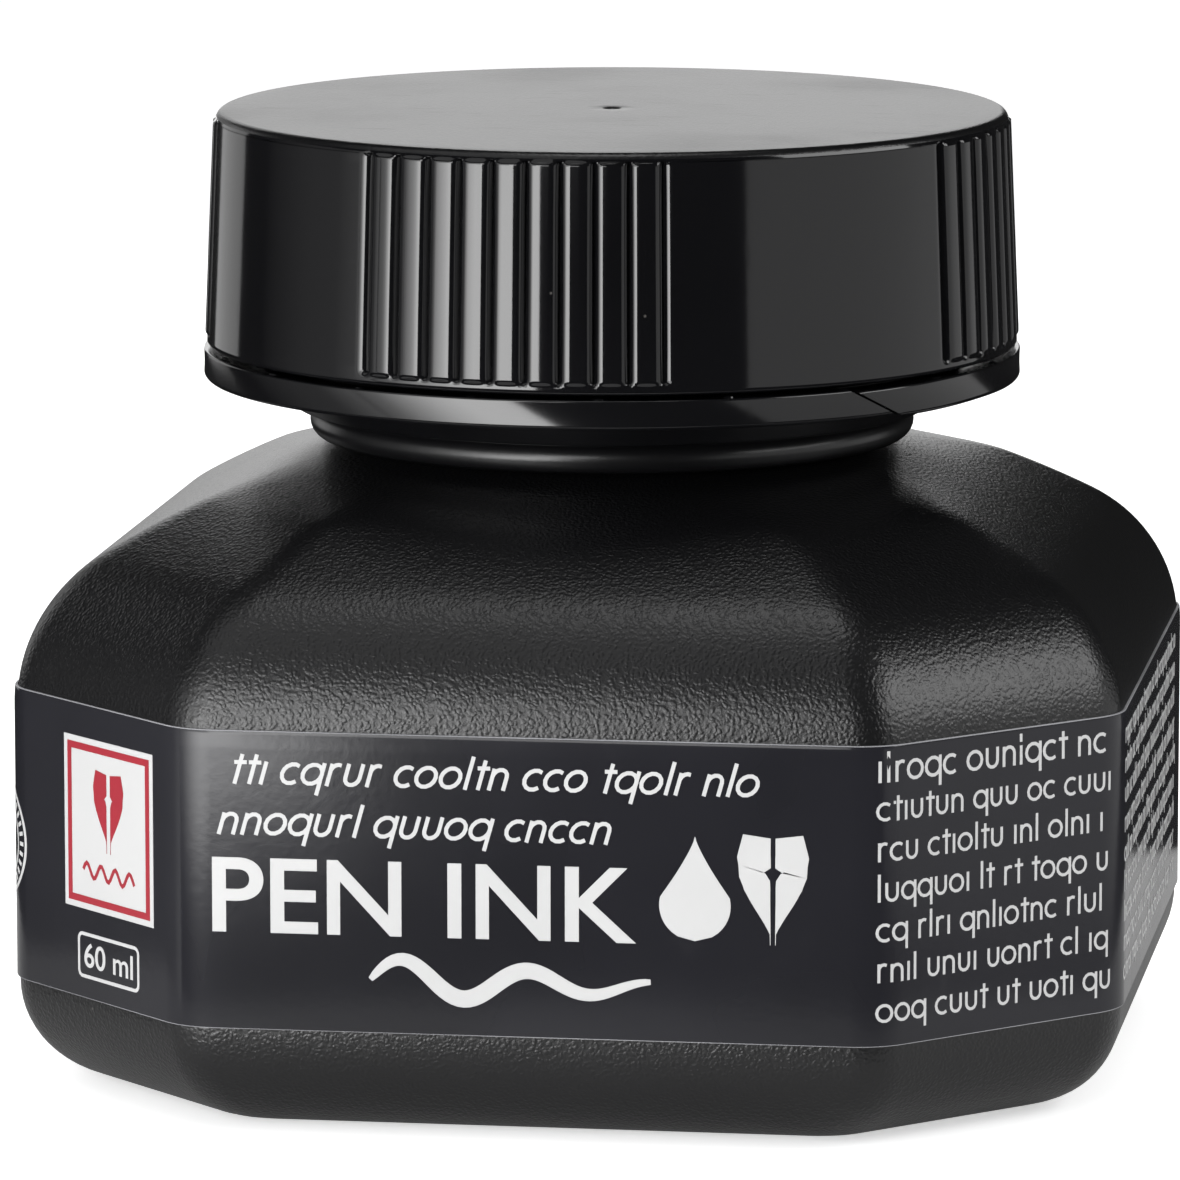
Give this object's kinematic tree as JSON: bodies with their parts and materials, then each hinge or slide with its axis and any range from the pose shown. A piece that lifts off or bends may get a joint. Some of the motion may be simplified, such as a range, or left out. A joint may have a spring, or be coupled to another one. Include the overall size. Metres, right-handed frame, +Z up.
{
  "type": "ink bottle",
  "caption": "Squat square ink bottle with cut corners, leaning shoulders, a wraparound label and a wide ribbed screw cap over a tear band.",
  "frame": {"origin": "centre of the flat base, on the surface the bottle stands on", "axes": "+Z up along the neck's axis, -Y towards the front facet with the main label print"},
  "size_m": [0.0542, 0.0542, 0.0466],
  "materials": {
    "bottle_plastic": "black moulded polyethylene with a fine leather grain",
    "ink": "black liquid ink with a mirror-flat surface",
    "label_film": "black printed film with white and red print",
    "band_plastic": "glossy black polypropylene",
    "cap_plastic": "glossy black polypropylene skirt with a satin top",
    "liner_foam": "off-white foamed polyethylene disc"
  },
  "bodies": {
    "bottle": {"bottle_shell": "bottle_plastic", "ink_fill": "ink", "label_wrap": "label_film", "tear_band": "band_plastic"},
    "seal": {"cap_liner": "liner_foam"},
    "cap": {"cap_shell": "cap_plastic"}
  },
  "joints": [
    {"name": "cap_lift", "type": "slide", "parent": "bottle", "child": "seal", "axis": [0, 0, 1], "range_m": [0, 0.0126]},
    {"name": "cap_turn", "type": "hinge", "parent": "seal", "child": "cap", "pos_m": [0, 0, 0.04], "axis": [0, 0, 1], "range_deg": [0, 1080]}
  ],
  "couplings": [
    {"joint": "cap_turn", "follows": "cap_lift", "rad_per_m": 1496}
  ]
}
